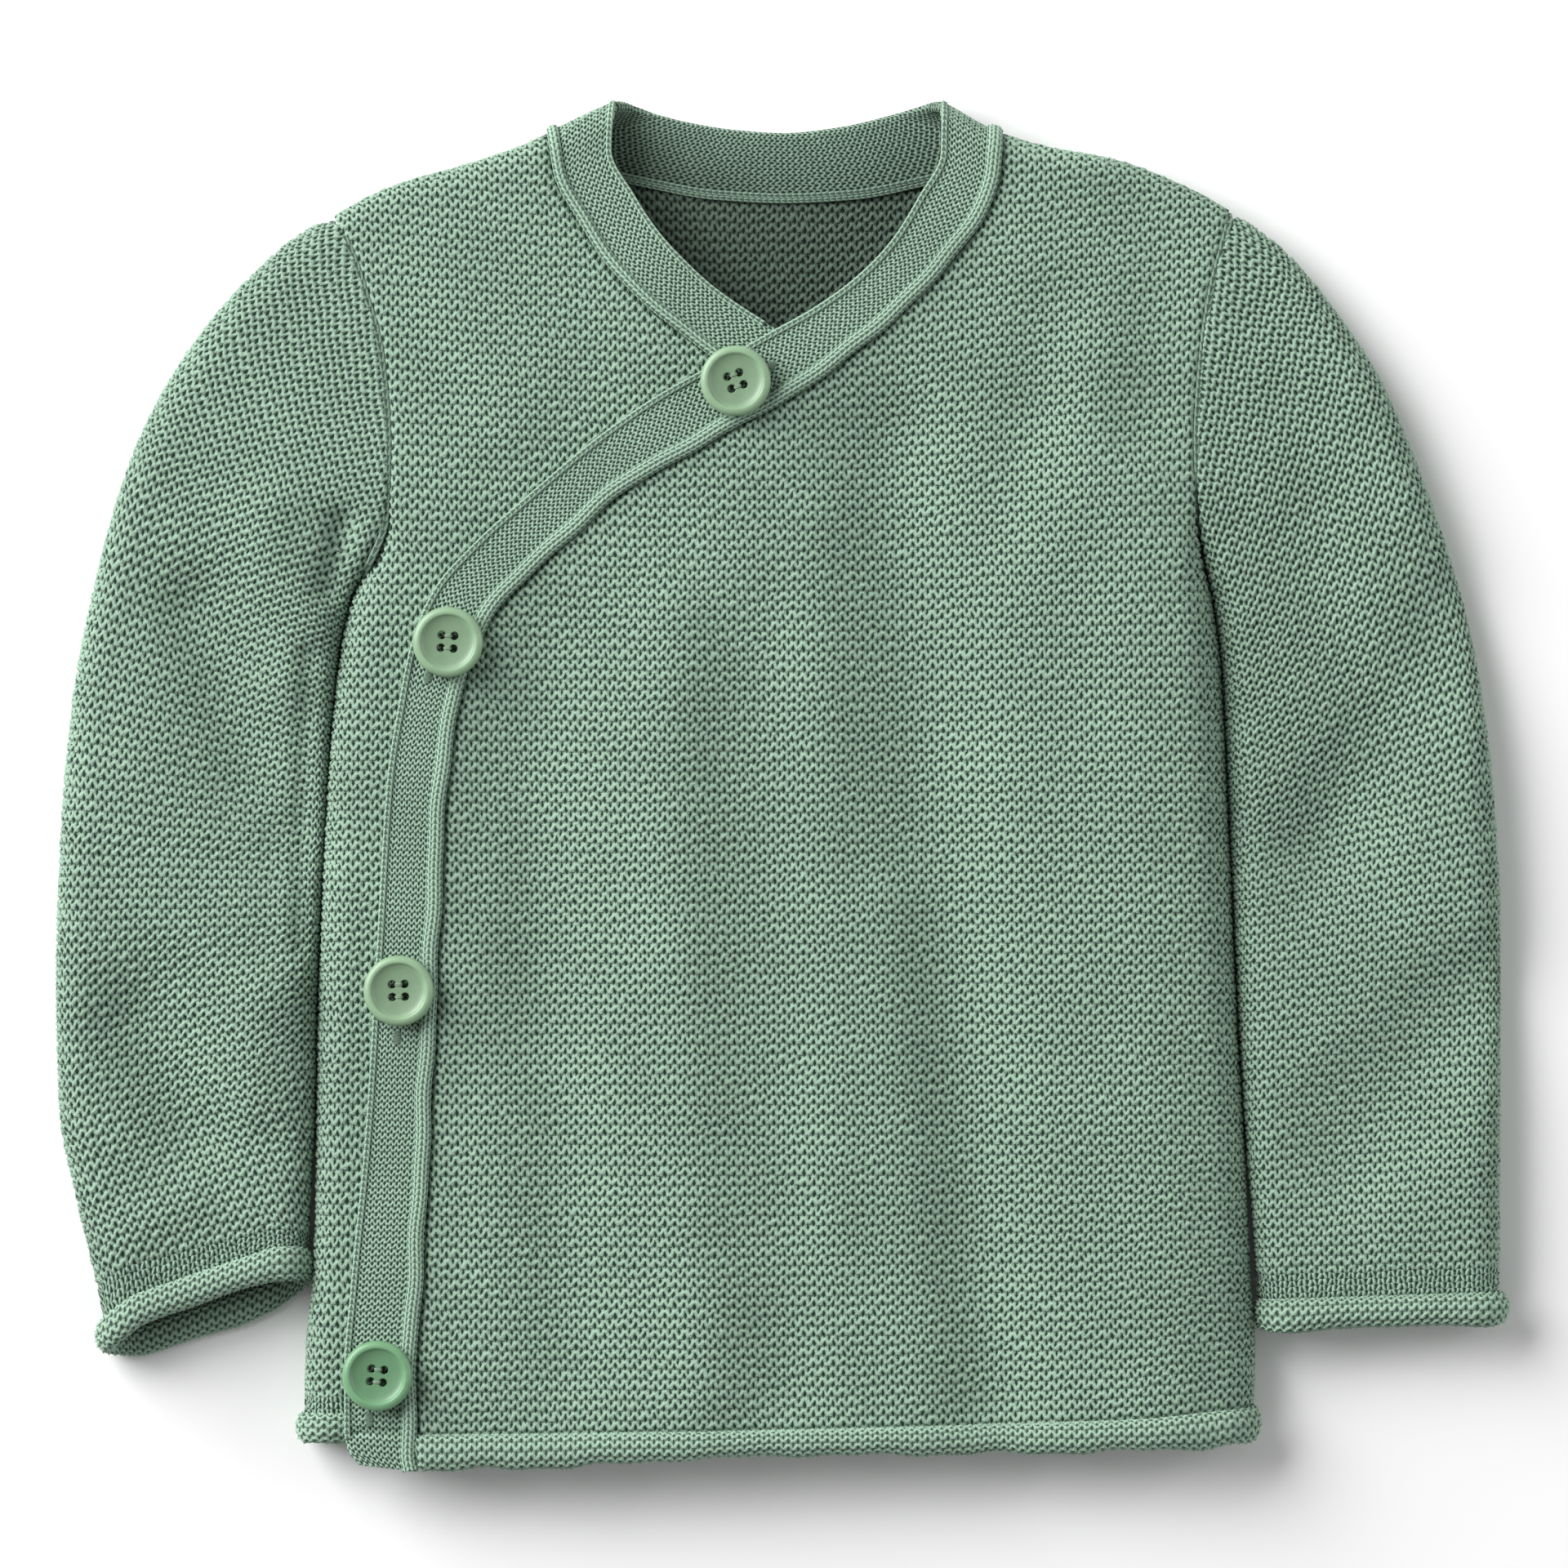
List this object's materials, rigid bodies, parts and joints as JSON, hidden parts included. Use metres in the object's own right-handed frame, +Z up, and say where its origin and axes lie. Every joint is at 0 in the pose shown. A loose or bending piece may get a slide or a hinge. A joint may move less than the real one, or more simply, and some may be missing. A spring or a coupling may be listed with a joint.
{
  "type": "baby wrap cardigan",
  "caption": "Long-sleeved garter-knit baby cardigan laid flat, one front wrapped over the other, with fine knit bands, rolled hems and cuffs, and round buttons.",
  "frame": {"origin": "Middle of the bounding box's underside, on the surface the cardigan lies on.", "axes": "+X to the wearer's left, +Y from the hem to the neck, +Z up from the surface through the back and then the fronts."},
  "size_m": [0.3415, 0.3214, 0.0227],
  "materials": {
    "garter_knit": "soft sage green garter knit in a cotton-like yarn, matt",
    "rolled_edge": "the same yarn in stocking stitch, rolled to its purl side, matt",
    "fine_band": "the same yarn in a fine close knit, smooth and matt",
    "button": "pearly green moulded plastic, semi-gloss"
  },
  "bodies": {
    "root": {"back": "garter_knit", "front_under": "garter_knit", "front_over": "garter_knit", "sleeve_right": "garter_knit", "sleeve_left": "garter_knit", "hem_roll_back": "rolled_edge", "hem_roll_under": "rolled_edge", "hem_roll_over": "rolled_edge", "cuff_roll_right": "rolled_edge", "cuff_roll_left": "rolled_edge", "band_over": "fine_band", "band_under": "fine_band", "band_back_neck": "fine_band", "button_1": "button", "button_2": "button", "button_3": "button", "button_4": "button"}
  },
  "joints": []
}
